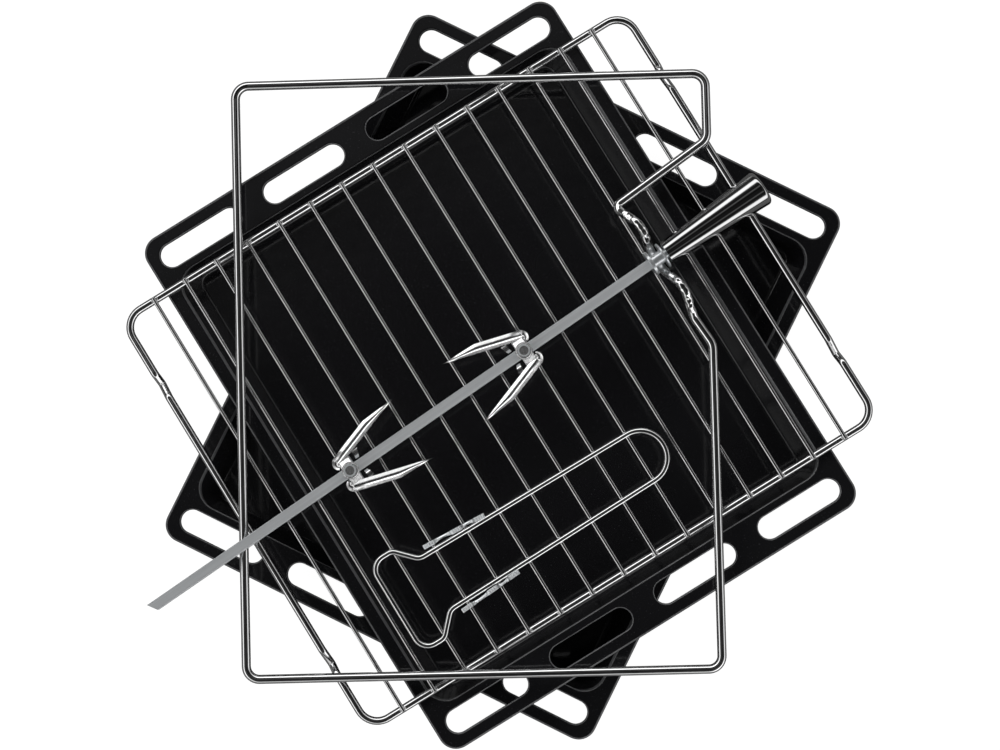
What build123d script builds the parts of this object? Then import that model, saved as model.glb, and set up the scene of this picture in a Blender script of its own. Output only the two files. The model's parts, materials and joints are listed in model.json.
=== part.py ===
from build123d import *
import math
import os

# Accessory set of a built-in rotisserie oven, stacked for storage: two enamelled trays, a wire
# rack, the spit frame, the spit with its two forks and handle, and the tray lifter.
# Units are mm, +Z up. The origin is the centre of the lower tray's floor, on its underside.

# ---- driving dimensions -------------------------------------------------------------------
GAP = 0.3                 # air left between two pieces that lie on each other

TRAY_LENGTH = 456.0       # over the two slotted flanges
TRAY_WIDTH = 369.0
TRAY_DEPTH = 24.0
TRAY_SHEET = 1.2
TRAY_CORNER = 14.0
FLANGE_END = 35.0         # slotted flange, rim to basin
FLANGE_SIDE = 10.5        # plain flange, rim to basin
WALL_RUN_END = 7.5        # how far the basin wall leans in, end walls
WALL_RUN_SIDE = 14.0      # the same, side walls
BASIN_CORNER_TOP = 18.0
BASIN_CORNER_FLOOR = 9.0
LIP_DEPTH = 4.5           # rolled edge below the flange
LIP_WALL = 1.8
SLOT_LENGTH = 70.0
SLOT_WIDTH = 18.0
SLOT_PITCH = 92.8
SLOT_IN = 19.4            # rim to slot centre line
SLOT_COLLAR = 3.0         # depth of the turned-down slot edge
SLOT_COLLAR_WALL = 1.2
SLOT_EDGE = 1.7           # rounding of the slots' upper edges
RIM_EDGE = 2.6            # the same, of the rim
MOUTH_EDGE = 1.6          # the same, of the basin's mouth
FLOOR_EDGE = 4.0          # the same, where the floor meets the walls
WALL_THICKENING = 1.15    # a leaning wall is this much wider, measured level, than its sheet

RACK_LENGTH = 456.5
RACK_WIDTH = 370.0
RAIL_WIRE = 6.0
RACK_CORNER = 16.0
STOP_OUTER = 133.5        # stops on the end wires: steep side, lowest point and gentle side
STOP_LOW = 125.2
STOP_INNER = 112.5
STOP_DROP = 6.8
STOP_BEND = 3.2
BAR_WIRE = 3.2
BAR_COUNT = 15
BAR_PITCH = 28.0
BAR_LENGTH = 367.5
BAR_END_EDGE = 0.4
WELD = 0.4                # how deep welded wires sink into each other

FRAME_WIRE = 7.0
FRAME_WIDTH = 365.0
FRAME_LENGTH = 457.3
FRAME_CORNER = 10.0
ENTRY_Y = 174.5           # on the right side, where the wire turns in to the saddle
EXIT_Y = 19.0             # and where it comes back
HUMP_HEIGHT = 12.0        # each side of the saddle rises over the rack's rail and comes down
HUMP_LEAN = 4.5
SADDLE = ((-3.5, 51.5, 0), (HUMP_LEAN, 28, HUMP_HEIGHT), (0, 7.5, 0),
          (0, -7.5, 0), (HUMP_LEAN, -28, HUMP_HEIGHT), (-1.5, -52, 0))  # along and across the spit
SADDLE_BENDS = (11, 4.4, 12, 9, 9, 12, 9, 14)

ROD_SIDE = 7.8
ROD_BEVEL = 0.7
ROD_SLANT = 32.0          # of the cut at the tip
NECK_RADIUS = 5.1
NECK_HALF = 4.4
FLANGE_RADIUS = 9.8
FLANGE_THICKNESS = 2.6
COLLAR_RADIUS = 10.4
COLLAR_THICKNESS = 1.5
BUSH_EDGE = 0.5
HANDLE_START = 8.0
HANDLE_END = 96.0
HANDLE_R_START = 9.2
HANDLE_R_END = 14.1
HANDLE_WALL = 1.2
HANDLE_ROLL = 3.0         # radius of the rolled-in outer end
CAP_THICKNESS = 2.4
CAP_EDGE = 1.0
PLUG_LENGTH = 18.0
STUD_RADIUS = 4.0
STUD_LENGTH = 16.0
STUD_PLAY = 0.08
TIP_AT = -463.0           # end of the rod, from the bush

PRONG_WIDTH = 7.4
PRONG_HEIGHT = 6.0
PRONG_SHEET = 1.3
PRONG_ANGLE = 17.7
PRONG_LENGTH = 62.2
PRONG_TAPER = 25.0        # length of the slanted cut at the tip
PRONG_TIP = 0.6           # width of the blunt point
PRONG_ROOT = (6.4, 10.9)  # centre of the left prong's rounded root, from the thumb screw
COLLAR_LENGTH = 9.0
COLLAR_HALF = 10.2        # half its width, over the ears
COLLAR_EAR = 3.6          # how far an ear stands out from the sleeve
COLLAR_EAR_TOP = 1.5      # height of the ear's top over the spit's axis
COLLAR_SLOPE = 1.2
COLLAR_HEIGHT = 13.0
ROD_PLAY = 0.25           # between the rod and the sleeve, each side
SCREW_RADIUS = 2.5
SCREW_PLAY = 0.1
SCREW_HEAD = 5.0
SCREW_HEAD_HEIGHT = 5.5
SCREW_HEAD_EDGE = 0.8
SCREW_DISH_RADIUS = 3.4
SCREW_DISH_DEPTH = 0.8
SCREW_FLUTES = 12
SCREW_FLUTE_RADIUS = 0.55

LIFTER_WIRE = 4.6
LIFTER_LENGTH = 236.0
LIFTER_BEND = 20.0        # half the distance between the arms at their round end
LIFTER_ARM = 22.4         # the same, at the shoulders
LIFTER_BAR = 38.2         # half the length of the end bar
LIFTER_SHOULDER = (19.0, 34.0)
CLIP_WIDTH = 4.4
CLIP_SHEET = 1.4
CLIP_TOP = 2.6
CLIP_LOW = -0.7
CLIP_START = 41.0
CLIP_END = 93.0
CLIP_DIPS = ((50, 56, 60, 65), (73, 77, 80, 84))   # down from, low from, low to, up to
CLIP_BEND = 2.4
CLIP_SPLAY = 3.4
CLIP_SIDE = 24.4          # how far off the middle the clip's inner end is

# ---- where each accessory lies in the stack -----------------------------------------------
LOWER_TRAY_TURN = -26.25
UPPER_TRAY_AT = (-3.0, 0.2)
UPPER_TRAY_TURN = 31.8
RACK_AT = (-3.2, 3.1)
RACK_TURN = 31.58
FRAME_AT = (-19.0, -2.55)
FRAME_TURN = 1.42
SPIT_AT = (117.35, 84.3)
SPIT_TURN = 34.6
LIFTER_AT = (-79.4, -178.05)
LIFTER_TURN = 31.6
FORK_NEAR = -122.0        # thumb screw of the fork nearer the handle, from the bush
FORK_FAR = -279.8

# ---- heights that follow from the stack ---------------------------------------------------
UPPER_TRAY_Z = TRAY_DEPTH + GAP
RAIL_Z = UPPER_TRAY_Z + TRAY_DEPTH + GAP + RAIL_WIRE / 2
BAR_Z = RAIL_Z + RAIL_WIRE / 2 + BAR_WIRE / 2 - WELD
BAR_TOP = BAR_Z + BAR_WIRE / 2
FRAME_Z = BAR_TOP + GAP + FRAME_WIRE / 2
LIFTER_Z = BAR_TOP + GAP + LIFTER_WIRE / 2
SPIT_Z = FRAME_Z + FRAME_WIRE / 2 + GAP + NECK_RADIUS

os.makedirs("parts", exist_ok=True)


def place(shape, at, turn, z=0.0):
    """Turn a piece about Z and carry it to its place in the stack."""
    return Location((at[0], at[1], z), (0, 0, turn)) * shape


def rounded_plate(width, length, corner, low, high):
    """Plate with rounded corners between two heights."""
    outline = Plane.XY.offset(low) * RectangleRounded(width, length, corner)
    return extrude(outline, high - low)


def frustum(bottom_size, bottom_corner, top_size, top_corner, low, high):
    """Basin body whose rounded rectangle grows from low to high."""
    bottom = Plane.XY.offset(low) * RectangleRounded(*bottom_size, bottom_corner)
    top = Plane.XY.offset(high) * RectangleRounded(*top_size, top_corner)
    return loft([bottom, top])


def closed_wire(points, radii, diameter):
    """Closed round wire: a rod for each straight run and a bent rod for each corner."""
    path = FilletPolyline(*points, radius=radii, close=True)
    pieces = []
    for run in path.edges():
        section = Plane(run @ 0, z_dir=run % 0) * Circle(diameter / 2)
        pieces.append(sweep(section, path=run))
    return pieces[0].fuse(*pieces[1:])


# ---- trays --------------------------------------------------------------------------------
def slot_plate(width, length, low, high):
    """The eight pill-shaped cut-outs, four in each end flange."""
    cuts = []
    for end in (-1, 1):
        for step in (-1.5, -0.5, 0.5, 1.5):
            centre = (step * SLOT_PITCH, end * (TRAY_LENGTH / 2 - SLOT_IN), low)
            pill = Pos(*centre) * SlotOverall(length, width)
            cuts.append(extrude(pill, high - low))
    return cuts


def tray():
    """Enamelled baking tray: basin, flange, rolled rim and slots with turned-down edges."""
    top_half = (TRAY_WIDTH / 2 - FLANGE_SIDE, TRAY_LENGTH / 2 - FLANGE_END)
    floor_half = (top_half[0] - WALL_RUN_SIDE, top_half[1] - WALL_RUN_END)
    inner_top = (2 * top_half[0], 2 * top_half[1])
    inner_floor = (2 * floor_half[0], 2 * floor_half[1])
    wall = 2 * TRAY_SHEET * WALL_THICKENING
    outer_top = (inner_top[0] + wall, inner_top[1] + wall)
    outer_floor = (inner_floor[0] + wall, inner_floor[1] + wall)
    outside = frustum(outer_floor, BASIN_CORNER_FLOOR + TRAY_SHEET,
                      outer_top, BASIN_CORNER_TOP + TRAY_SHEET, 0, TRAY_DEPTH)
    inside = frustum(inner_floor, BASIN_CORNER_FLOOR,
                     inner_top, BASIN_CORNER_TOP, TRAY_SHEET, TRAY_DEPTH)
    outside = fillet(outside.faces().sort_by(Axis.Z)[0].edges(), FLOOR_EDGE + TRAY_SHEET)
    inside = fillet(inside.faces().sort_by(Axis.Z)[0].edges(), FLOOR_EDGE)
    flange = rounded_plate(TRAY_WIDTH, TRAY_LENGTH, TRAY_CORNER, TRAY_DEPTH - LIP_DEPTH, TRAY_DEPTH)
    flange = fillet(flange.faces().sort_by(Axis.Z)[-1].edges(), RIM_EDGE)
    flange -= rounded_plate(TRAY_WIDTH - 2 * LIP_WALL, TRAY_LENGTH - 2 * LIP_WALL,
                            TRAY_CORNER - LIP_WALL, TRAY_DEPTH - LIP_DEPTH, TRAY_DEPTH - TRAY_SHEET)
    collar_low = TRAY_DEPTH - SLOT_COLLAR
    collar_size = (SLOT_WIDTH + 2 * SLOT_COLLAR_WALL, SLOT_LENGTH + 2 * SLOT_COLLAR_WALL)
    for collar in slot_plate(*collar_size, collar_low, TRAY_DEPTH - TRAY_SHEET):
        flange += collar
    body = flange + outside
    body -= inside
    cut_through = 1.0
    for cut in slot_plate(SLOT_WIDTH, SLOT_LENGTH, collar_low - cut_through, TRAY_DEPTH + cut_through):
        body -= cut
    slot_row = TRAY_LENGTH / 2 - SLOT_IN
    top = body.faces().filter_by(Axis.Z).sort_by(Axis.Z)[-1]
    slots = [w for w in top.inner_wires() if abs(abs(w.bounding_box().center().Y) - slot_row) < 1.0]
    body = body.fillet(SLOT_EDGE, [edge for slot in slots for edge in slot.edges()])
    top = body.faces().filter_by(Axis.Z).sort_by(Axis.Z)[-1]
    basin = max(top.inner_wires(), key=lambda w: w.length)
    return body.fillet(MOUTH_EDGE, basin.edges())


# ---- wire rack ----------------------------------------------------------------------------
def rack_loop():
    """Closed outer wire, with two dipped stops on each end wire."""
    half_x = (RACK_LENGTH - RAIL_WIRE) / 2
    half_y = (RACK_WIDTH - RAIL_WIRE) / 2
    side = [(-STOP_OUTER, 0), (-STOP_LOW, -STOP_DROP), (-STOP_INNER, 0),
            (STOP_INNER, 0), (STOP_LOW, -STOP_DROP), (STOP_OUTER, 0)]
    bends = [STOP_BEND] * len(side)
    right = [(half_x, y, z) for y, z in side]
    left = [(-half_x, -y, z) for y, z in side]
    points = [(half_x, -half_y, 0), *right, (half_x, half_y, 0),
              (-half_x, half_y, 0), *left, (-half_x, -half_y, 0)]
    radii = [RACK_CORNER, *bends, RACK_CORNER, RACK_CORNER, *bends, RACK_CORNER]
    return closed_wire(points, radii, RAIL_WIRE)


def rack_bar(index):
    """One cross bar, laid over the two long rails."""
    x = (index - (BAR_COUNT - 1) / 2) * BAR_PITCH
    bar = Cylinder(BAR_WIRE / 2, BAR_LENGTH, rotation=(90, 0, 0))
    bar = fillet(bar.edges().filter_by(GeomType.CIRCLE), BAR_END_EDGE)
    return Pos(x, 0, BAR_Z - RAIL_Z) * bar


# ---- spit frame ---------------------------------------------------------------------------
def saddle_point(x, y, z):
    """A point given along and across the spit, in the frame's own axes."""
    turn = math.radians(SPIT_TURN)
    world = (SPIT_AT[0] + x * math.cos(turn) - y * math.sin(turn),
             SPIT_AT[1] + x * math.sin(turn) + y * math.cos(turn))
    back = math.radians(-FRAME_TURN)
    dx = world[0] - FRAME_AT[0]
    dy = world[1] - FRAME_AT[1]
    return (dx * math.cos(back) - dy * math.sin(back), dx * math.sin(back) + dy * math.cos(back), z)


def spit_frame():
    """Closed wire loop whose right side is bent in to a saddle that carries the spit's bush."""
    half_x = (FRAME_WIDTH - FRAME_WIRE) / 2
    half_y = (FRAME_LENGTH - FRAME_WIRE) / 2
    saddle = [saddle_point(*point) for point in SADDLE]
    points = [(-half_x, half_y, 0), (half_x, half_y, 0), (half_x, ENTRY_Y, 0), *saddle,
              (half_x, EXIT_Y, 0), (half_x, -half_y, 0), (-half_x, -half_y, 0)]
    radii = [FRAME_CORNER, FRAME_CORNER, *SADDLE_BENDS, FRAME_CORNER, FRAME_CORNER]
    return closed_wire(points, radii, FRAME_WIRE)


# ---- spit ---------------------------------------------------------------------------------
def along_spit(shape):
    """Stand a shape made along +Z along the spit's own X."""
    return Rot(0, 90, 0) * shape


def spit_rod():
    """Square rod with bevelled edges and a blunt slanted tip."""
    length = -NECK_HALF - FLANGE_THICKNESS - TIP_AT
    section = chamfer(Rectangle(ROD_SIDE, ROD_SIDE).vertices(), ROD_BEVEL)
    rod = Pos(TIP_AT, 0, 0) * along_spit(extrude(section, length))
    side = 4 * ROD_SIDE
    block = Pos(-side / 2, 0, 0) * Box(side, side, side)
    return rod - Pos(TIP_AT, ROD_SIDE / 2, 0) * Rot(0, 0, ROD_SLANT) * block


def spit_bush():
    """Turned bush: inner flange, neck that lies in the saddle, outer collar."""
    low = -NECK_HALF - FLANGE_THICKNESS
    high = NECK_HALF + COLLAR_THICKNESS
    profile = [(0, low), (FLANGE_RADIUS, low), (FLANGE_RADIUS, -NECK_HALF), (NECK_RADIUS, -NECK_HALF),
               (NECK_RADIUS, NECK_HALF), (COLLAR_RADIUS, NECK_HALF), (COLLAR_RADIUS, high), (0, high)]
    face = make_face(Polyline(*profile, close=True).edges())
    bush = revolve(Plane.XZ * face, Axis.Z)
    rims = bush.edges().filter_by(GeomType.CIRCLE).filter_by(lambda e: e.radius > NECK_RADIUS + 1)
    return along_spit(fillet(rims, BUSH_EDGE))


def spit_stud():
    """Threaded stud on the bush that the handle screws on to."""
    stud = extrude(Circle(STUD_RADIUS), STUD_LENGTH)
    stud = chamfer(stud.edges().sort_by(Axis.Z)[-1], 0.8)
    return Pos(NECK_HALF + COLLAR_THICKNESS, 0, 0) * along_spit(stud)


def handle_radius(x):
    """Outer radius of the tapered handle at a place along the spit."""
    share = (x - HANDLE_START) / (HANDLE_END - HANDLE_START)
    return HANDLE_R_START + share * (HANDLE_R_END - HANDLE_R_START)


def handle_tube():
    """Tapered chrome tube with a rolled-in outer end."""
    end = HANDLE_END - HANDLE_ROLL
    outer = handle_radius(end)
    rolled = outer - HANDLE_ROLL
    halfway = math.radians(45)
    on_roll = (rolled + HANDLE_ROLL * math.cos(halfway), end + HANDLE_ROLL * math.sin(halfway))
    inside = [(rolled, HANDLE_END), (rolled, HANDLE_END - HANDLE_WALL),
              (outer - HANDLE_WALL, end - HANDLE_WALL),
              (HANDLE_R_START - HANDLE_WALL, HANDLE_START), (HANDLE_R_START, HANDLE_START)]
    with BuildSketch(Plane.XZ) as sketch:
        with BuildLine():
            Line((HANDLE_R_START, HANDLE_START), (outer, end))
            ThreePointArc((outer, end), on_roll, (rolled, HANDLE_END))
            Polyline(*inside)
        make_face()
    return along_spit(revolve(sketch.sketch, Axis.Z))


def handle_cap():
    """Shallow domed disc that closes the handle's outer end."""
    radius = handle_radius(HANDLE_END - HANDLE_ROLL) - HANDLE_ROLL
    disc = Pos(0, 0, HANDLE_END - CAP_THICKNESS) * extrude(Circle(radius), CAP_THICKNESS)
    disc = fillet(disc.edges().sort_by(Axis.Z)[-1], CAP_EDGE)
    return along_spit(disc)


def handle_plug():
    """Plug inside the handle's narrow end, bored for the stud."""
    wide = handle_radius(HANDLE_START + PLUG_LENGTH) - HANDLE_WALL
    narrow = HANDLE_R_START - HANDLE_WALL
    plug = loft([Circle(narrow), Plane.XY.offset(PLUG_LENGTH) * Circle(wide)])
    bore = extrude(Circle(STUD_RADIUS + STUD_PLAY), STUD_LENGTH)
    return Pos(HANDLE_START, 0, 0) * along_spit(plug - bore)


# ---- forks --------------------------------------------------------------------------------
def prong_outline(inset):
    """Pointed strip seen from above, from its rounded root to its slanted tip."""
    half = PRONG_WIDTH / 2 - inset
    tip = PRONG_LENGTH - 4.0 * inset
    shoulder = PRONG_LENGTH - PRONG_TAPER
    with BuildSketch() as sketch:
        with BuildLine():
            Line((0, -half), (shoulder, -half))
            Line((shoulder, -half), (tip, half - PRONG_TIP))
            Line((tip, half - PRONG_TIP), (tip, half))
            Line((tip, half), (0, half))
            ThreePointArc((0, half), (-half, 0), (0, -half))
        make_face()
    return sketch.sketch


def beside_rod(shape, side):
    """Carry a prong made along +X to one side of the rod; its tip then points along -X."""
    if side < 0:
        shape = mirror(shape, Plane.XZ)
    return Pos(PRONG_ROOT[0], side * PRONG_ROOT[1], 0) * Rot(0, 0, 180 - side * PRONG_ANGLE) * shape


def fork_prong(side):
    """Channel-section prong, open upwards, on one side of the rod."""
    body = extrude(prong_outline(0), PRONG_HEIGHT)
    groove = Pos(0, 0, PRONG_SHEET) * extrude(prong_outline(PRONG_SHEET), PRONG_HEIGHT)
    return beside_rod(Pos(0, 0, -PRONG_HEIGHT / 2) * (body - groove), side)


def fork_collar():
    """Sleeve that slides on the rod; its sides slope down and out to the two prongs."""
    top = COLLAR_HEIGHT / 2
    bottom = -COLLAR_HEIGHT / 2
    ear_low = -PRONG_HEIGHT / 2
    neck = COLLAR_HALF - COLLAR_EAR
    right = [(neck, bottom), (neck, ear_low), (COLLAR_HALF, ear_low), (COLLAR_HALF, COLLAR_EAR_TOP),
             (neck - COLLAR_SLOPE, top)]
    left = [(-y, z) for y, z in reversed(right)]
    face = make_face(Polyline(*right, *left, close=True).edges())
    sleeve = extrude(Plane.YZ * face, COLLAR_LENGTH / 2, both=True)
    bore = ROD_SIDE + 2 * ROD_PLAY
    hole = Box(2 * COLLAR_LENGTH, bore, bore)
    thread = Pos(0, 0, top) * Cylinder(SCREW_RADIUS + SCREW_PLAY, COLLAR_HEIGHT)
    sleeve = sleeve - hole - thread
    for side in (-1, 1):
        seat = Pos(0, 0, -COLLAR_HEIGHT) * extrude(prong_outline(WELD), 2 * COLLAR_HEIGHT)
        sleeve -= beside_rod(seat, side)
    return sleeve


def fork_screw():
    """Thumb screw: shank and a round dished head with grip flutes."""
    shank_low = ROD_SIDE / 2 + ROD_PLAY
    head_low = COLLAR_HEIGHT / 2 + GAP
    head_top = head_low + SCREW_HEAD_HEIGHT
    into_head = 0.5
    shank = Pos(0, 0, shank_low) * extrude(Circle(SCREW_RADIUS), head_low - shank_low + into_head)
    head = Pos(0, 0, head_low) * extrude(Circle(SCREW_HEAD), SCREW_HEAD_HEIGHT)
    head = fillet(head.edges(), SCREW_HEAD_EDGE)
    head -= Pos(0, 0, head_top) * Cylinder(SCREW_DISH_RADIUS, 2 * SCREW_DISH_DEPTH)
    flute = Pos(SCREW_HEAD, 0, head_low) * Cylinder(SCREW_FLUTE_RADIUS, 3 * SCREW_HEAD_HEIGHT)
    for step in range(SCREW_FLUTES):
        head -= Rot(0, 0, step * 360 / SCREW_FLUTES) * flute
    return shank + head


# ---- tray lifter --------------------------------------------------------------------------
def lifter_loop():
    """Closed wire handle: wide end bar, shoulders, two arms and a round bend."""
    bar_end, arm_start = LIFTER_SHOULDER
    round_end = LIFTER_BEND - 0.4
    left = [(0, LIFTER_BAR, 0), (bar_end, LIFTER_BAR, 0), (arm_start, LIFTER_ARM, 0),
            (LIFTER_LENGTH, LIFTER_BEND, 0)]
    bends = [11, 7, 9, round_end]
    right = [(x, -y, z) for x, y, z in reversed(left)]
    return closed_wire([*left, *right], [*bends, *reversed(bends)], LIFTER_WIRE)


def lifter_clip(side):
    """Wavy strip welded on one arm at its inner end, which grips a tray's rim."""
    wave = [(CLIP_START, CLIP_TOP)]
    for leave, low_from, low_to, back in CLIP_DIPS:
        wave += [(leave, CLIP_TOP), (low_from, CLIP_LOW), (low_to, CLIP_LOW), (back, CLIP_TOP)]
    wave.append((CLIP_END, CLIP_TOP))
    strip = trace(FilletPolyline(*wave, radius=CLIP_BEND), CLIP_SHEET)
    solid = extrude(Plane.XZ * strip, CLIP_WIDTH / 2, both=True)
    return Pos(CLIP_END, side * CLIP_SIDE, 0) * Rot(0, 0, -side * CLIP_SPLAY) * Pos(-CLIP_END, 0, 0) * solid


# ---- write every piece --------------------------------------------------------------------
def save(name, shape):
    """Write one named piece."""
    shape.label = name
    export_step(shape, f"parts/{name}.step")


one_tray = tray()
save("lower_tray", place(one_tray, (0, 0), LOWER_TRAY_TURN))
save("upper_tray", place(one_tray, UPPER_TRAY_AT, UPPER_TRAY_TURN, UPPER_TRAY_Z))

save("rack_loop", place(rack_loop(), RACK_AT, RACK_TURN, RAIL_Z))
for bar_index in range(BAR_COUNT):
    save(f"rack_bar_{bar_index + 1:02d}", place(rack_bar(bar_index), RACK_AT, RACK_TURN, RAIL_Z))

save("spit_frame", place(spit_frame(), FRAME_AT, FRAME_TURN, FRAME_Z))

spit_pieces = {
    "spit_rod": spit_rod(),
    "spit_bush": spit_bush(),
    "spit_stud": spit_stud(),
    "handle_tube": handle_tube(),
    "handle_cap": handle_cap(),
    "handle_plug": handle_plug(),
}
for piece_name, piece in spit_pieces.items():
    save(piece_name, place(piece, SPIT_AT, SPIT_TURN, SPIT_Z))

fork_pieces = {
    "collar": fork_collar(),
    "prong_left": fork_prong(1),
    "prong_right": fork_prong(-1),
    "screw": fork_screw(),
}
for fork_name, fork_at, fork_turn in (("near", FORK_NEAR, 0), ("far", FORK_FAR, 180)):
    for piece_name, piece in fork_pieces.items():
        on_rod = Pos(fork_at, 0, 0) * Rot(0, 0, fork_turn) * piece
        save(f"fork_{fork_name}_{piece_name}", place(on_rod, SPIT_AT, SPIT_TURN, SPIT_Z))

save("lifter_loop", place(lifter_loop(), LIFTER_AT, LIFTER_TURN, LIFTER_Z))
save("lifter_clip_left", place(lifter_clip(1), LIFTER_AT, LIFTER_TURN, LIFTER_Z))
save("lifter_clip_right", place(lifter_clip(-1), LIFTER_AT, LIFTER_TURN, LIFTER_Z))
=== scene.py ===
import json
import math
import random

import bpy
import bmesh
from mathutils import Matrix, Vector


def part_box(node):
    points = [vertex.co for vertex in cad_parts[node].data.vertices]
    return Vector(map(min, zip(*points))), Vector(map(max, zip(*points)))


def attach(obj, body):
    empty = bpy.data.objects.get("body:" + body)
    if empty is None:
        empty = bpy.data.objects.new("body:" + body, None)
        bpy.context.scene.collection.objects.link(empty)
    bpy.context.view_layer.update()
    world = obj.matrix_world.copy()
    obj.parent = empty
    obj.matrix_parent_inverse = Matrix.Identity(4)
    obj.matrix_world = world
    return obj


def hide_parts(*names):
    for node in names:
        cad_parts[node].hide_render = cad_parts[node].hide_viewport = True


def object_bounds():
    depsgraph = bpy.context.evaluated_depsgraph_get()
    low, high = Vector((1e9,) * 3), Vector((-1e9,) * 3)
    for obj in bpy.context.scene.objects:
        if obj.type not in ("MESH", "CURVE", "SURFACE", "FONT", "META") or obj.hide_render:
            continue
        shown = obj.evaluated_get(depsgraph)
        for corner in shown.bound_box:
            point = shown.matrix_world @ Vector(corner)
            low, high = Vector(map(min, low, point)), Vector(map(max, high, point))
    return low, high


# Stacked accessories of a rotisserie oven: looks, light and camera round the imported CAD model.

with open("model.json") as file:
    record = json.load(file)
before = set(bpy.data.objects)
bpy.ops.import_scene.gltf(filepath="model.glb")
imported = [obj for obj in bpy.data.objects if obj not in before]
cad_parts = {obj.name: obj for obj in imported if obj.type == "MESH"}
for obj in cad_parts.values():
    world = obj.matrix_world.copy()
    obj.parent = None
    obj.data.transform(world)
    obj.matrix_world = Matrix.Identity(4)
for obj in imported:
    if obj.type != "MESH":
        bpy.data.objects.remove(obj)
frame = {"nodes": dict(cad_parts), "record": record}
nodes = frame["nodes"]
cad_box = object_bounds()
rng = random.Random(4)

# ---- camera -------------------------------------------------------------------------------
CAMERA_AT = (0.0316, -0.0727, 1.6461)
CAMERA_FORWARD = Vector((-0.020778, 0.044289, -0.998803))
CAMERA_UP = Vector((0.000921, 0.999019, 0.044279))
LENS = 75.51

camera_data = bpy.data.cameras.new("camera")
camera_data.sensor_width = 36.0
camera_data.lens = LENS
camera_data.dof.use_dof = False
camera_data.clip_start = 0.01
camera_data.clip_end = 30.0
camera = bpy.data.objects.new("camera", camera_data)
bpy.context.scene.collection.objects.link(camera)
back = -CAMERA_FORWARD.normalized()
right = CAMERA_UP.cross(back).normalized()
up = back.cross(right)
camera.matrix_world = Matrix.Translation(CAMERA_AT) @ Matrix((right, up, back)).transposed().to_4x4()
bpy.context.scene.camera = camera
bpy.context.scene.view_settings.view_transform = "Standard"


# ---- places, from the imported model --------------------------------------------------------
def centre(node):
    low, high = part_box(node)
    return (low + high) / 2


def bearing(start, end):
    """Direction from one place to another, seen from above, in degrees."""
    return math.degrees(math.atan2(end.y - start.y, end.x - start.x))


def seat(x, y, z, turn):
    """Axes that stand at a place and are turned about Z, in degrees."""
    return Matrix.Translation((x, y, z)) @ Matrix.Rotation(math.radians(turn), 4, "Z")


BARS = sorted(name for name in nodes if name.startswith("rack_bar_"))
RACK_TURN = bearing(centre(BARS[0]), centre(BARS[-1]))
SPIT_TURN = bearing(centre("fork_far_screw"), centre("fork_near_screw"))
LIFTER_TURN = bearing(centre("lifter_clip_right"), centre("lifter_clip_left")) - 90
TRAY_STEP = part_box("upper_tray")[0].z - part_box("lower_tray")[0].z
RIM_FOOT = TRAY_STEP - 0.0031       # over a tray's underside; its rim's roundings are above this
DISH_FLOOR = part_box("fork_near_screw")[1].z - 0.0008
HUMP_FOOT = 0.0668                  # the spit frame's wire is dented above this


# ---- node helpers -------------------------------------------------------------------------
def grey(level, tint=(1.0, 1.0, 1.0)):
    return (level * tint[0], level * tint[1], level * tint[2], 1.0)


class Nodes:
    """A node tree whose nodes are added one by one."""

    def __init__(self, tree):
        self.tree = tree

    def feed(self, socket, value):
        """Set a socket to a value, or link it to another node's output."""
        if isinstance(value, bpy.types.NodeSocket):
            self.tree.links.new(value, socket)
        else:
            socket.default_value = value

    def add(self, kind, settings=None, **inputs):
        """A node, with inputs by their names; an underscore stands for a space."""
        node = self.tree.nodes.new(kind)
        for key, value in (settings or {}).items():
            setattr(node, key, value)
        for key, value in inputs.items():
            self.feed(node.inputs[key.replace("_", " ")], value)
        return node

    def operate(self, kind, operation, *values):
        """A math or vector math node, with its inputs in order."""
        node = self.add(kind, {"operation": operation})
        for socket, value in zip(node.inputs, values):
            self.feed(socket, value)
        return node

    def compute(self, operation, *values):
        return self.operate("ShaderNodeMath", operation, *values).outputs[0]

    def blend(self, share, first, second, mode="MIX"):
        made = self.add("ShaderNodeMix", {"data_type": "RGBA", "blend_type": mode}, Factor=share)
        self.feed(made.inputs[6], first)
        self.feed(made.inputs[7], second)
        return made.outputs[2]

    def ramp(self, value, stops):
        """Grey by a value between 0 and 1, through stops of (value, grey)."""
        node = self.add("ShaderNodeValToRGB", Fac=value)
        elements = node.color_ramp.elements
        for element, (position, level) in zip(elements, (stops[0], stops[-1])):
            element.position = position
            element.color = grey(level)
        for position, level in stops[1:-1]:
            elements.new(position).color = grey(level)
        return node.outputs["Color"]


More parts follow.
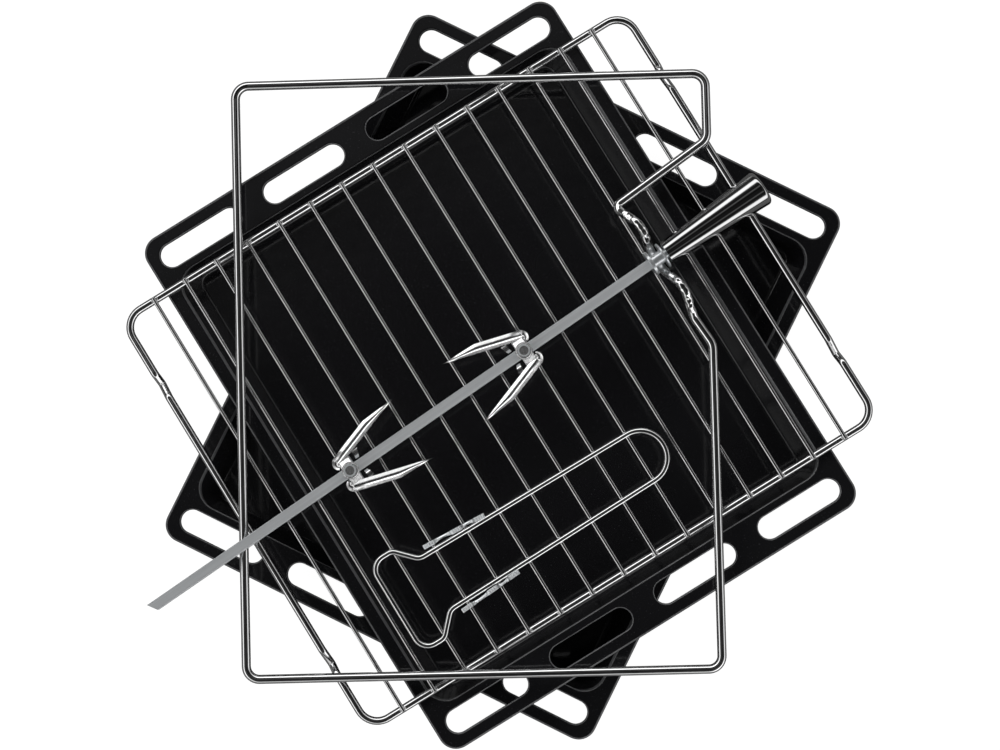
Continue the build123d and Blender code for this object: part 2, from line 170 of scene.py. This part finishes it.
class Paint(Nodes):
    """A material with its nodes round one Principled shader."""

    def __init__(self, name, **sockets):
        self.material = bpy.data.materials.new(name)
        self.material.use_nodes = True
        super().__init__(self.material.node_tree)
        self.shader = self.tree.nodes["Principled BSDF"]
        for socket, value in sockets.items():
            self.shader.inputs[socket.replace("_", " ")].default_value = value

    def into(self, socket, value):
        self.feed(self.shader.inputs[socket], value)

    def place(self, turn=0.0, stretch=(1, 1, 1)):
        """Position in the row frame, turned about Z and stretched."""
        spot = self.add("ShaderNodeTexCoord").outputs["Object"]
        mapping = self.add("ShaderNodeMapping", {"vector_type": "TEXTURE"}, Vector=spot)
        mapping.inputs["Rotation"].default_value = (0, 0, math.radians(turn))
        return self.operate("ShaderNodeVectorMath", "MULTIPLY", mapping.outputs[0], stretch).outputs[0]

    def height(self, where):
        return self.add("ShaderNodeSeparateXYZ", Vector=where).outputs["Z"]

    def noise(self, where, scale, detail=2.0, rough=0.5):
        made = self.add("ShaderNodeTexNoise", Vector=where, Scale=scale, Detail=detail, Roughness=rough)
        return made.outputs["Fac"]

    def spread(self, value, low, high, start=0.0, end=1.0):
        """Map a value between start and end on to low and high."""
        made = self.add("ShaderNodeMapRange", Value=value)
        for name, number in (("From Min", start), ("From Max", end), ("To Min", low), ("To Max", high)):
            made.inputs[name].default_value = number
        return made.outputs["Result"]

    def bump(self, height, distance, strength=1.0, normal=None):
        made = self.add("ShaderNodeBump", Height=height, Distance=distance, Strength=strength)
        if normal is not None:
            self.feed(made.inputs["Normal"], normal)
        return made.outputs["Normal"]


# ---- materials ----------------------------------------------------------------------------
ENAMEL_TINT = (0.97, 0.97, 1.08)
# tint of the painted highlight on the enamel rim's roundings
RIM_HIGHLIGHT_TINT = (0.99, 1.0, 1.03)
STEEL_TINT = (0.97, 1.0, 1.02)
CHROME_TINT = (1.0, 1.0, 1.005)


def enamel():
    """Glossy black enamel: slight orange peel, dust, fine specks, and a painted highlight: the rim's
    sloping roundings are painted grey, mottled by the dust.
    """
    p = Paint("black_enamel", IOR=1.5)
    where = p.place()
    dust = p.noise(where, 9.0, 3.0)
    specks = p.spread(p.noise(where, 900.0, 1.0), 0.0, 1.0, 0.70, 0.78)
    base = p.blend(dust, grey(0.010, ENAMEL_TINT), grey(0.016, ENAMEL_TINT))
    base = p.blend(specks, base, grey(0.05, ENAMEL_TINT))
    in_tray = p.compute("MODULO", p.height(where), TRAY_STEP)
    on_rim = p.spread(in_tray, 0.0, 1.0, RIM_FOOT, RIM_FOOT + 0.0006)
    facing = p.height(p.add("ShaderNodeNewGeometry").outputs["Normal"])
    not_upright = p.spread(facing, 0.0, 1.0, 0.35, 0.55)
    not_level = p.spread(facing, 1.0, 0.0, 0.82, 0.93)
    rounding = p.compute("MULTIPLY", on_rim, p.compute("MULTIPLY", not_upright, not_level))
    # painted highlight: grey on the sloping parts of the rim's roundings, mottled by the dust
    painted_rim_highlight = p.compute("MULTIPLY", rounding, p.spread(dust, 0.6, 1.0))
    p.into("Base Color", p.blend(painted_rim_highlight, base, grey(0.24, RIM_HIGHLIGHT_TINT)))
    p.into("Roughness", p.spread(dust, 0.07, 0.15))
    p.into("Normal", p.bump(p.noise(where, 60.0, 1.0), 0.0004, 0.25))
    return p.material


def chrome(name, level=0.80, rough=0.10, bump=0.3, turn=0.0, dented_over=None):
    """Bright plated wire, faintly uneven, with pressed dents above a height if one is given."""
    p = Paint(name, Metallic=1.0)
    where = p.place(turn)
    blotch = p.noise(where, 120.0, 3.0)
    fine = p.noise(where, 900.0, 2.0)
    p.into("Base Color", p.blend(blotch, grey(level * 0.86), grey(level * 1.04, CHROME_TINT)))
    p.into("Roughness", p.spread(fine, rough * 0.7, rough * 1.5))
    surface = p.bump(blotch, 0.0006, bump)
    if dented_over is not None:
        dented = p.spread(p.height(where), 0.0, 1.0, dented_over, dented_over + 0.002)
        dents = p.compute("MULTIPLY", p.noise(where, 190.0, 1.0), dented)
        surface = p.bump(dents, 0.0032, 0.55, surface)
    p.into("Normal", surface)
    return p.material


def brushed(name, level, rough, turn, along=(8.0, 900.0, 900.0), metal=1.0):
    """Drawn or turned steel with grain that runs one way; less metal makes it whiter and duller."""
    p = Paint(name, Metallic=metal)
    grain = p.noise(p.place(turn, along), 1.0, 3.0, 0.6)
    blotch = p.noise(p.place(turn), 45.0, 3.0)
    base = p.blend(grain, grey(level * 0.78, STEEL_TINT), grey(min(1.0, level * 1.18), STEEL_TINT))
    p.into("Base Color", p.blend(p.spread(blotch, 0.0, 0.35), base, grey(level * 0.7, STEEL_TINT)))
    p.into("Roughness", p.spread(grain, rough * 0.85, rough * 1.15))
    p.into("Normal", p.bump(grain, 0.00006, 0.4))
    return p.material


def dished_steel():
    """Grey screw head, painted dark and mottled in its dish as painted shade."""
    p = Paint("screw_steel", Metallic=0.5, Roughness=0.45)
    where = p.place()
    on_top = p.spread(p.height(where), 0.0, 1.0, DISH_FLOOR + 0.0001, DISH_FLOOR + 0.0006)
    blotch = p.noise(where, 900.0, 2.0)
    # painted shade: below the head's top, the dish is painted dark and mottled
    painted_dish_shade = p.blend(blotch, grey(0.05), grey(0.5))
    p.into("Base Color", p.blend(on_top, painted_dish_shade, grey(0.85, STEEL_TINT)))
    p.into("Normal", p.bump(blotch, 0.0003, 0.4))
    return p.material


SCREW_STEEL = dished_steel()
ENAMEL = enamel()
RACK_CHROME = chrome("rack_chrome", 0.80, 0.07, 0.25, RACK_TURN)
FRAME_CHROME = chrome("frame_chrome", 0.84, 0.06, 0.15, dented_over=HUMP_FOOT)
LIFTER_CHROME = chrome("lifter_chrome", 0.84, 0.06, 0.15)
HANDLE_CHROME = chrome("handle_chrome", 0.50, 0.05, 0.05)
FORK_CHROME = chrome("fork_chrome", 0.93, 0.20, 0.25)
CLIP_CHROME = brushed("clip_chrome", 0.95, 0.28, RACK_TURN, (500.0, 500.0, 500.0), metal=0.9)
SHOULDER_CHROME = chrome("ear_chrome", 0.93, 0.24, 0.4, SPIT_TURN)
ROD_STEEL = brushed("rod_steel", 0.86, 0.5, SPIT_TURN, metal=0.35)
TURNED_STEEL = brushed("turned_steel", 0.97, 0.32, SPIT_TURN, (900.0, 60.0, 60.0), metal=0.7)
COLLAR_CHROME = brushed("collar_chrome", 0.97, 0.45, SPIT_TURN, (60.0, 300.0, 300.0), metal=0.1)

BY_SLOT = {
    "black_enamel": ENAMEL, "rack_chrome": RACK_CHROME, "frame_chrome": FRAME_CHROME,
    "lifter_chrome": LIFTER_CHROME, "handle_chrome": HANDLE_CHROME, "fork_chrome": FORK_CHROME,
    "rod_steel": ROD_STEEL, "turned_steel": TURNED_STEEL, "screw_steel": SCREW_STEEL,
}
for subpart in frame["record"]["subparts"]:
    piece = nodes[subpart["node"]]
    piece.data.materials.clear()
    piece.data.materials.append(BY_SLOT[subpart["material_slot"]])
for name in ("fork_near_collar", "fork_far_collar"):
    nodes[name].data.materials[0] = COLLAR_CHROME

# ---- mesh helpers -------------------------------------------------------------------------
MM = 0.001


def between(start, end, share):
    return start + (end - start) * share


def placed(axes, ring, side=1):
    """Points given in mm in some axes, mirrored in Y for side -1, in the row frame."""
    return [axes @ (Vector((x, y * side, z)) * MM) for x, y, z in ring]


def strip(made, stations, closed=False):
    """A bar through a row of equal rings of points, with caps at its ends or closed in a loop."""
    rings = [[made.verts.new(point) for point in station] for station in stations]
    following = rings[1:] + rings[:1] if closed else rings[1:]
    for first, second in zip(rings, following):
        for i in range(len(first)):
            j = (i + 1) % len(first)
            made.faces.new((first[i], first[j], second[j], second[i]))
    if not closed:
        made.faces.new(rings[0])
        made.faces.new(list(reversed(rings[-1])))


def finish_piece(name, made, material, body, smooth=40.0, bevel=0.0, replaced=()):
    """Turn a bmesh, in metres in the row frame, into a piece that rides on a body."""
    bmesh.ops.recalc_face_normals(made, faces=made.faces)
    mesh = bpy.data.meshes.new(name)
    made.to_mesh(mesh)
    made.free()
    mesh.materials.append(material)
    mesh.shade_smooth()
    mesh.set_sharp_from_angle(angle=math.radians(smooth))
    piece = bpy.data.objects.new(name, mesh)
    bpy.context.scene.collection.objects.link(piece)
    if bevel:
        rounding = piece.modifiers.new("rounding", "BEVEL")
        rounding.width = bevel
        rounding.segments = 2
        rounding.limit_method = "ANGLE"
    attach(piece, body)
    if replaced:
        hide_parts(*replaced)


# ---- forks: mm from the thumb screw's centre line, at the rod's height, prongs towards -X --
PRONG_ANGLE = 17.7
PRONG_ROOT = (6.4, 10.9)
PRONG_LENGTH = 62.2
PRONG_HALF = 3.7            # half the folded strip's width
PRONG_SHEET = 1.2
PRONG_RISE = 2.3            # height of the strip's edges
PRONG_FOLD = 2.3            # depth of the fold between them
FOLD_SHARE = 0.62           # most depth of a fold, as a share of half the width
FOLD_HALF = 0.25            # half the width of the fold's bottom
FLANK_AT = 0.45             # each flank bends here, as shares of half the width and of the depth
FLANK_DROP = 0.62
PRONG_TAPER = 25.0          # length of the slanted cut at the tip
TIP_WIDTH = 0.5
TIP_RUN = 9.0               # the fold runs out and the edges drop over this length
TIP_DROP = 0.9
PRONG_STEPS = 24
STEP_CROWDING = 1.15        # steps get shorter towards the root
CURL_AT = 1.4               # the curl starts this far from the root
CURL_RADIUS = 2.8
CURL_TURN = 125.0
CURL_OUTER = 1.7            # half widths at the curl's end
CURL_INNER = 1.9
CURL_FOLD = (1.6, 1.0)      # the fold's depth from the curl's start to its end
CURL_STEPS = 11
TAB_START = (-10.6, 12.0, 1.2)
TAB_END = (-9.2, 5.4, -0.4)
TAB_HUMP = 1.3
TAB_HALF = (2.4, 1.5)
TAB_SHEET = 0.9
TAB_STEPS = 6
SHOULDER_HALF = 4.4
SHOULDER_SECTION = ((5.1, 6.65), (9.7, 4.05), (9.7, 1.8), (5.1, 5.5))
SHOULDER_BEVEL = 0.4
BOSS_SECTION = ((5.15, 6.4), (5.25, 7.3), (5.6, 7.6), (6.0, 7.4), (6.5, 6.5), (6.4, 6.2), (5.15, 6.2))
BOSS_STEPS = 40


def folded_ring(middle, across, outer, inner, fold, rise):
    """Ring of a folded strip: high outer edge, low fold, high inner edge, and the underside."""
    flank = rise - fold * FLANK_DROP
    low = rise - fold
    top = ((-outer, rise), (-outer * FLANK_AT, flank), (-FOLD_HALF, low), (FOLD_HALF, low),
           (inner * FLANK_AT, flank), (inner, rise))
    under = [(v, z - PRONG_SHEET) for v, z in reversed(top)]
    return [(*(middle + across * v), z) for v, z in (*top, *under)]


def prong_rings():
    """Rings of the left prong, from its slanted tip to its curled root."""
    angle = math.radians(PRONG_ANGLE)
    to_tip = Vector((-math.cos(angle), math.sin(angle)))
    inward = Vector((-math.sin(angle), -math.cos(angle)))
    root = Vector(PRONG_ROOT)
    rings = []
    for step in range(PRONG_STEPS + 1):
        out = PRONG_LENGTH * (1 - step / PRONG_STEPS) ** STEP_CROWDING + CURL_AT
        cut = max(0.0, (out - PRONG_LENGTH) / PRONG_TAPER + 1) * (2 * PRONG_HALF - TIP_WIDTH)
        half = PRONG_HALF - cut / 2
        tip = min(1.0, max(0.0, (out - PRONG_LENGTH) / TIP_RUN + 1))
        fold = min(PRONG_FOLD, FOLD_SHARE * half) * (1 - tip)
        middle = root + to_tip * out + inward * (cut / 2)
        rings.append(folded_ring(middle, inward, half, half, fold, PRONG_RISE - TIP_DROP * tip))
    hub = root + to_tip * CURL_AT + inward * CURL_RADIUS
    for step in range(1, CURL_STEPS + 1):
        share = step / CURL_STEPS
        turn = math.radians(90 - PRONG_ANGLE - share * CURL_TURN)
        away = Vector((math.cos(turn), math.sin(turn)))
        outer = between(PRONG_HALF, CURL_OUTER, share)
        inner = between(PRONG_HALF, CURL_INNER, min(1.0, 3 * share))
        fold = between(*CURL_FOLD, share)
        rings.append(folded_ring(hub + away * CURL_RADIUS, -away, outer, inner, fold, PRONG_RISE))
    return rings


def tab_rings():
    """Rings of the small ear that leans from the prong to the rod."""
    rings = []
    for step in range(TAB_STEPS + 1):
        share = step / TAB_STEPS
        x = between(TAB_START[0], TAB_END[0], share * share)
        y = between(TAB_START[1], TAB_END[1], share)
        z = between(TAB_START[2], TAB_END[2], share) + TAB_HUMP * math.sin(math.pi * share)
        half = between(*TAB_HALF, share)
        low = z - TAB_SHEET
        rings.append([(x - half, y, z), (x + half, y, z), (x + half, y, low), (x - half, y, low)])
    return rings


def boss_rings():
    """Sections of the sleeve's raised ring, all the way round the thumb screw."""
    turns = [2 * math.pi * step / BOSS_STEPS for step in range(BOSS_STEPS)]
    return [[(r * math.cos(turn), r * math.sin(turn), z) for r, z in BOSS_SECTION] for turn in turns]


def make_fork(fork, turn):
    """The pressed prongs, the shoulders and the raised ring of one fork."""
    screw = centre(f"fork_{fork}_screw")
    axes = seat(screw.x, screw.y, centre("spit_rod").z, turn)
    for side, sign in (("left", 1), ("right", -1)):
        made = bmesh.new()
        for rings in (prong_rings(), tab_rings()):
            strip(made, [placed(axes, ring, sign) for ring in rings])
        finish_piece(f"fork_{fork}_prong_{side}_pressed", made, FORK_CHROME, f"fork_{fork}",
                     smooth=50.0, replaced=(f"fork_{fork}_prong_{side}",))
    ends = [[(x, y, z) for y, z in SHOULDER_SECTION] for x in (-SHOULDER_HALF, SHOULDER_HALF)]
    made = bmesh.new()
    for sign in (1, -1):
        strip(made, [placed(axes, ring, sign) for ring in ends])
    finish_piece(f"fork_{fork}_shoulders", made, SHOULDER_CHROME, f"fork_{fork}",
                 bevel=SHOULDER_BEVEL * MM)
    made = bmesh.new()
    strip(made, [placed(axes, ring) for ring in boss_rings()], closed=True)
    finish_piece(f"fork_{fork}_boss", made, FORK_CHROME, f"fork_{fork}")


make_fork("near", SPIT_TURN)
make_fork("far", SPIT_TURN + 180)

# ---- lifter clips: mm from each clip's middle, at the height of the lifter's wire ---------
CLIP_HALF = 26.0
CLIP_SPLAY = 3.4
CLIP_TOP = 2.6
CLIP_LOW = -0.6
CLIP_DIPS = ((-17.0, -2.0), (6.0, 17.0))
CLIP_SHEET = 1.0
CLIP_WIDE = 1.7             # half the strip's width on its flats
CLIP_NARROW = 1.0           # the same at the bottom of a dip
CLIP_SHIFT = (0.5, 1.0)     # how far outward its middle line runs, on the flats and in the dips
RIB_PITCH = 2.0
RIB_HEIGHT = 0.32
RIB_IN_DIP = 0.25           # share of a rib's height that is left in a dip
CREST_RISE = 0.35           # the strip's top is ridged: its middle line rises, its edges drop
CREST_EDGE = 0.1
CLIP_STEPS = 208


def clip_ring(x):
    """Section of the gripping strip: ribbed on its flats, narrow and low in its dips."""
    dip = 0.0
    for start, end in CLIP_DIPS:
        if start < x < end:
            dip = math.sin(math.pi * (x - start) / (end - start)) ** 0.7
    z = between(CLIP_TOP, CLIP_LOW, dip)
    rib = -RIB_HEIGHT * math.cos(2 * math.pi * x / RIB_PITCH) * (1.0 if dip == 0.0 else RIB_IN_DIP)
    half = between(CLIP_WIDE, CLIP_NARROW, dip)
    shift = between(*CLIP_SHIFT, dip)
    edge = z + rib - CREST_EDGE
    return ((x, shift - half, edge), (x, shift, z + rib + CREST_RISE), (x, shift + half, edge),
            (x, shift + half, z - CLIP_SHEET), (x, shift - half, z - CLIP_SHEET))


for side, sign in (("left", 1), ("right", -1)):
    clip = centre(f"lifter_clip_{side}")
    axes = seat(clip.x, clip.y, centre("lifter_loop").z, LIFTER_TURN - sign * CLIP_SPLAY)
    stops = [between(-CLIP_HALF, CLIP_HALF, step / CLIP_STEPS) for step in range(CLIP_STEPS + 1)]
    made = bmesh.new()
    strip(made, [placed(axes, clip_ring(x), sign) for x in stops])
    finish_piece(f"lifter_clip_{side}_pressed", made, CLIP_CHROME, "lifter", smooth=35.0,
                 replaced=(f"lifter_clip_{side}",))

# ---- weld beads: mm from each bar's middle, at the top of the rack's rails ----------------
RAIL_OFFSET = 182.0
BEAD_OFFSET = 1.7           # to each side of the bar
BEAD_LIFT = 0.1
BEAD_ACROSS = (0.9, 1.3)    # half sizes, least and most
BEAD_ALONG = (1.3, 1.9)
BEAD_HEIGHT = 0.8

rail_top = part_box("rack_loop")[1].z
made = bmesh.new()
for name in BARS:
    bar = centre(name)
    axes = seat(bar.x, bar.y, rail_top, RACK_TURN)
    for rail in (-RAIL_OFFSET, RAIL_OFFSET):
        for flank in (-BEAD_OFFSET, BEAD_OFFSET):
            half_size = Vector((rng.uniform(*BEAD_ACROSS), rng.uniform(*BEAD_ALONG), BEAD_HEIGHT)) * MM
            spot = Matrix.Translation(Vector((flank, rail, BEAD_LIFT)) * MM)
            bmesh.ops.create_uvsphere(made, u_segments=12, v_segments=8, radius=1.0,
                                      matrix=axes @ spot @ Matrix.Diagonal(half_size).to_4x4())
finish_piece("rack_weld_beads", made, RACK_CHROME, "rack")

# ---- floor and light ----------------------------------------------------------------------
FLOOR_RADIUS = 4.0
FLOOR_GAP = 0.0005
FLOOR_GLOW = 0.95           # seen by the camera only, so that the chrome mirrors a dim floor
LIGHT_STRENGTH = 2.1
RING_LEAN = 8.5             # the ring of light leans, in degrees, and is lower on this bearing
RING_LOW_SIDE = -58.4
# Brightness of the ring by compass bearing, in turns from +X towards +Y.
RING_BY_BEARING = (
    (0.0, 0.50), (0.088, 0.20), (0.17, 0.45), (0.25, 0.95), (0.338, 1.0), (0.42, 0.75), (0.5, 0.62),
    (0.588, 0.72), (0.67, 0.45), (0.75, 0.30), (0.838, 0.95), (0.92, 0.75), (1.0, 0.50),
)
# The same by the height of the direction: dark horizon, bright ring, dark overhead.
RING_BY_HEIGHT = (
    (0.0, 0.02), (0.22, 0.03), (0.33, 1.0), (0.58, 1.0), (0.68, 0.04), (0.78, 0.008), (0.90, 0.008),
    (0.92, 0.07), (0.95, 0.07), (0.965, 0.008), (1.0, 0.008),
)


def make_floor():
    """White paper under the stack; it looks bright to the camera and dim to the chrome."""
    mesh = bpy.data.meshes.new("floor")
    made = bmesh.new()
    bmesh.ops.create_circle(made, cap_ends=True, segments=64, radius=FLOOR_RADIUS)
    made.to_mesh(mesh)
    made.free()
    floor = bpy.data.objects.new("floor", mesh)
    floor.location.z = cad_box[0].z - FLOOR_GAP
    bpy.context.scene.collection.objects.link(floor)
    p = Paint("floor_paper", Roughness=1.0, Specular_IOR_Level=0.0)
    p.into("Base Color", grey(0.38))
    p.into("Emission Color", grey(1.0))
    seen = p.add("ShaderNodeLightPath").outputs["Is Camera Ray"]
    p.into("Emission Strength", p.spread(seen, 0.0, FLOOR_GLOW))
    mesh.materials.append(p.material)


def make_world():
    """A leaning ring of soft light round the object, dark overhead and at the horizon."""
    world = bpy.data.worlds.new("studio")
    bpy.context.scene.world = world
    world.use_nodes = True
    w = Nodes(world.node_tree)
    direction = w.add("ShaderNodeTexCoord").outputs["Generated"]
    split = w.add("ShaderNodeSeparateXYZ", Vector=direction)
    turn = w.compute("ARCTAN2", split.outputs["Y"], split.outputs["X"])
    by_bearing = w.ramp(w.compute("FRACT", w.compute("DIVIDE", turn, 2 * math.pi)), RING_BY_BEARING)
    low_side = math.radians(RING_LOW_SIDE)
    lean = math.radians(RING_LEAN)
    axis = (math.sin(lean) * math.cos(low_side), math.sin(lean) * math.sin(low_side), math.cos(lean))
    along = w.operate("ShaderNodeVectorMath", "DOT_PRODUCT", direction, axis)
    by_height = w.ramp(along.outputs["Value"], RING_BY_HEIGHT)
    background = w.tree.nodes["Background"]
    w.feed(background.inputs["Color"], w.blend(1.0, by_bearing, by_height, "MULTIPLY"))
    w.feed(background.inputs["Strength"], LIGHT_STRENGTH)


make_floor()
make_world()
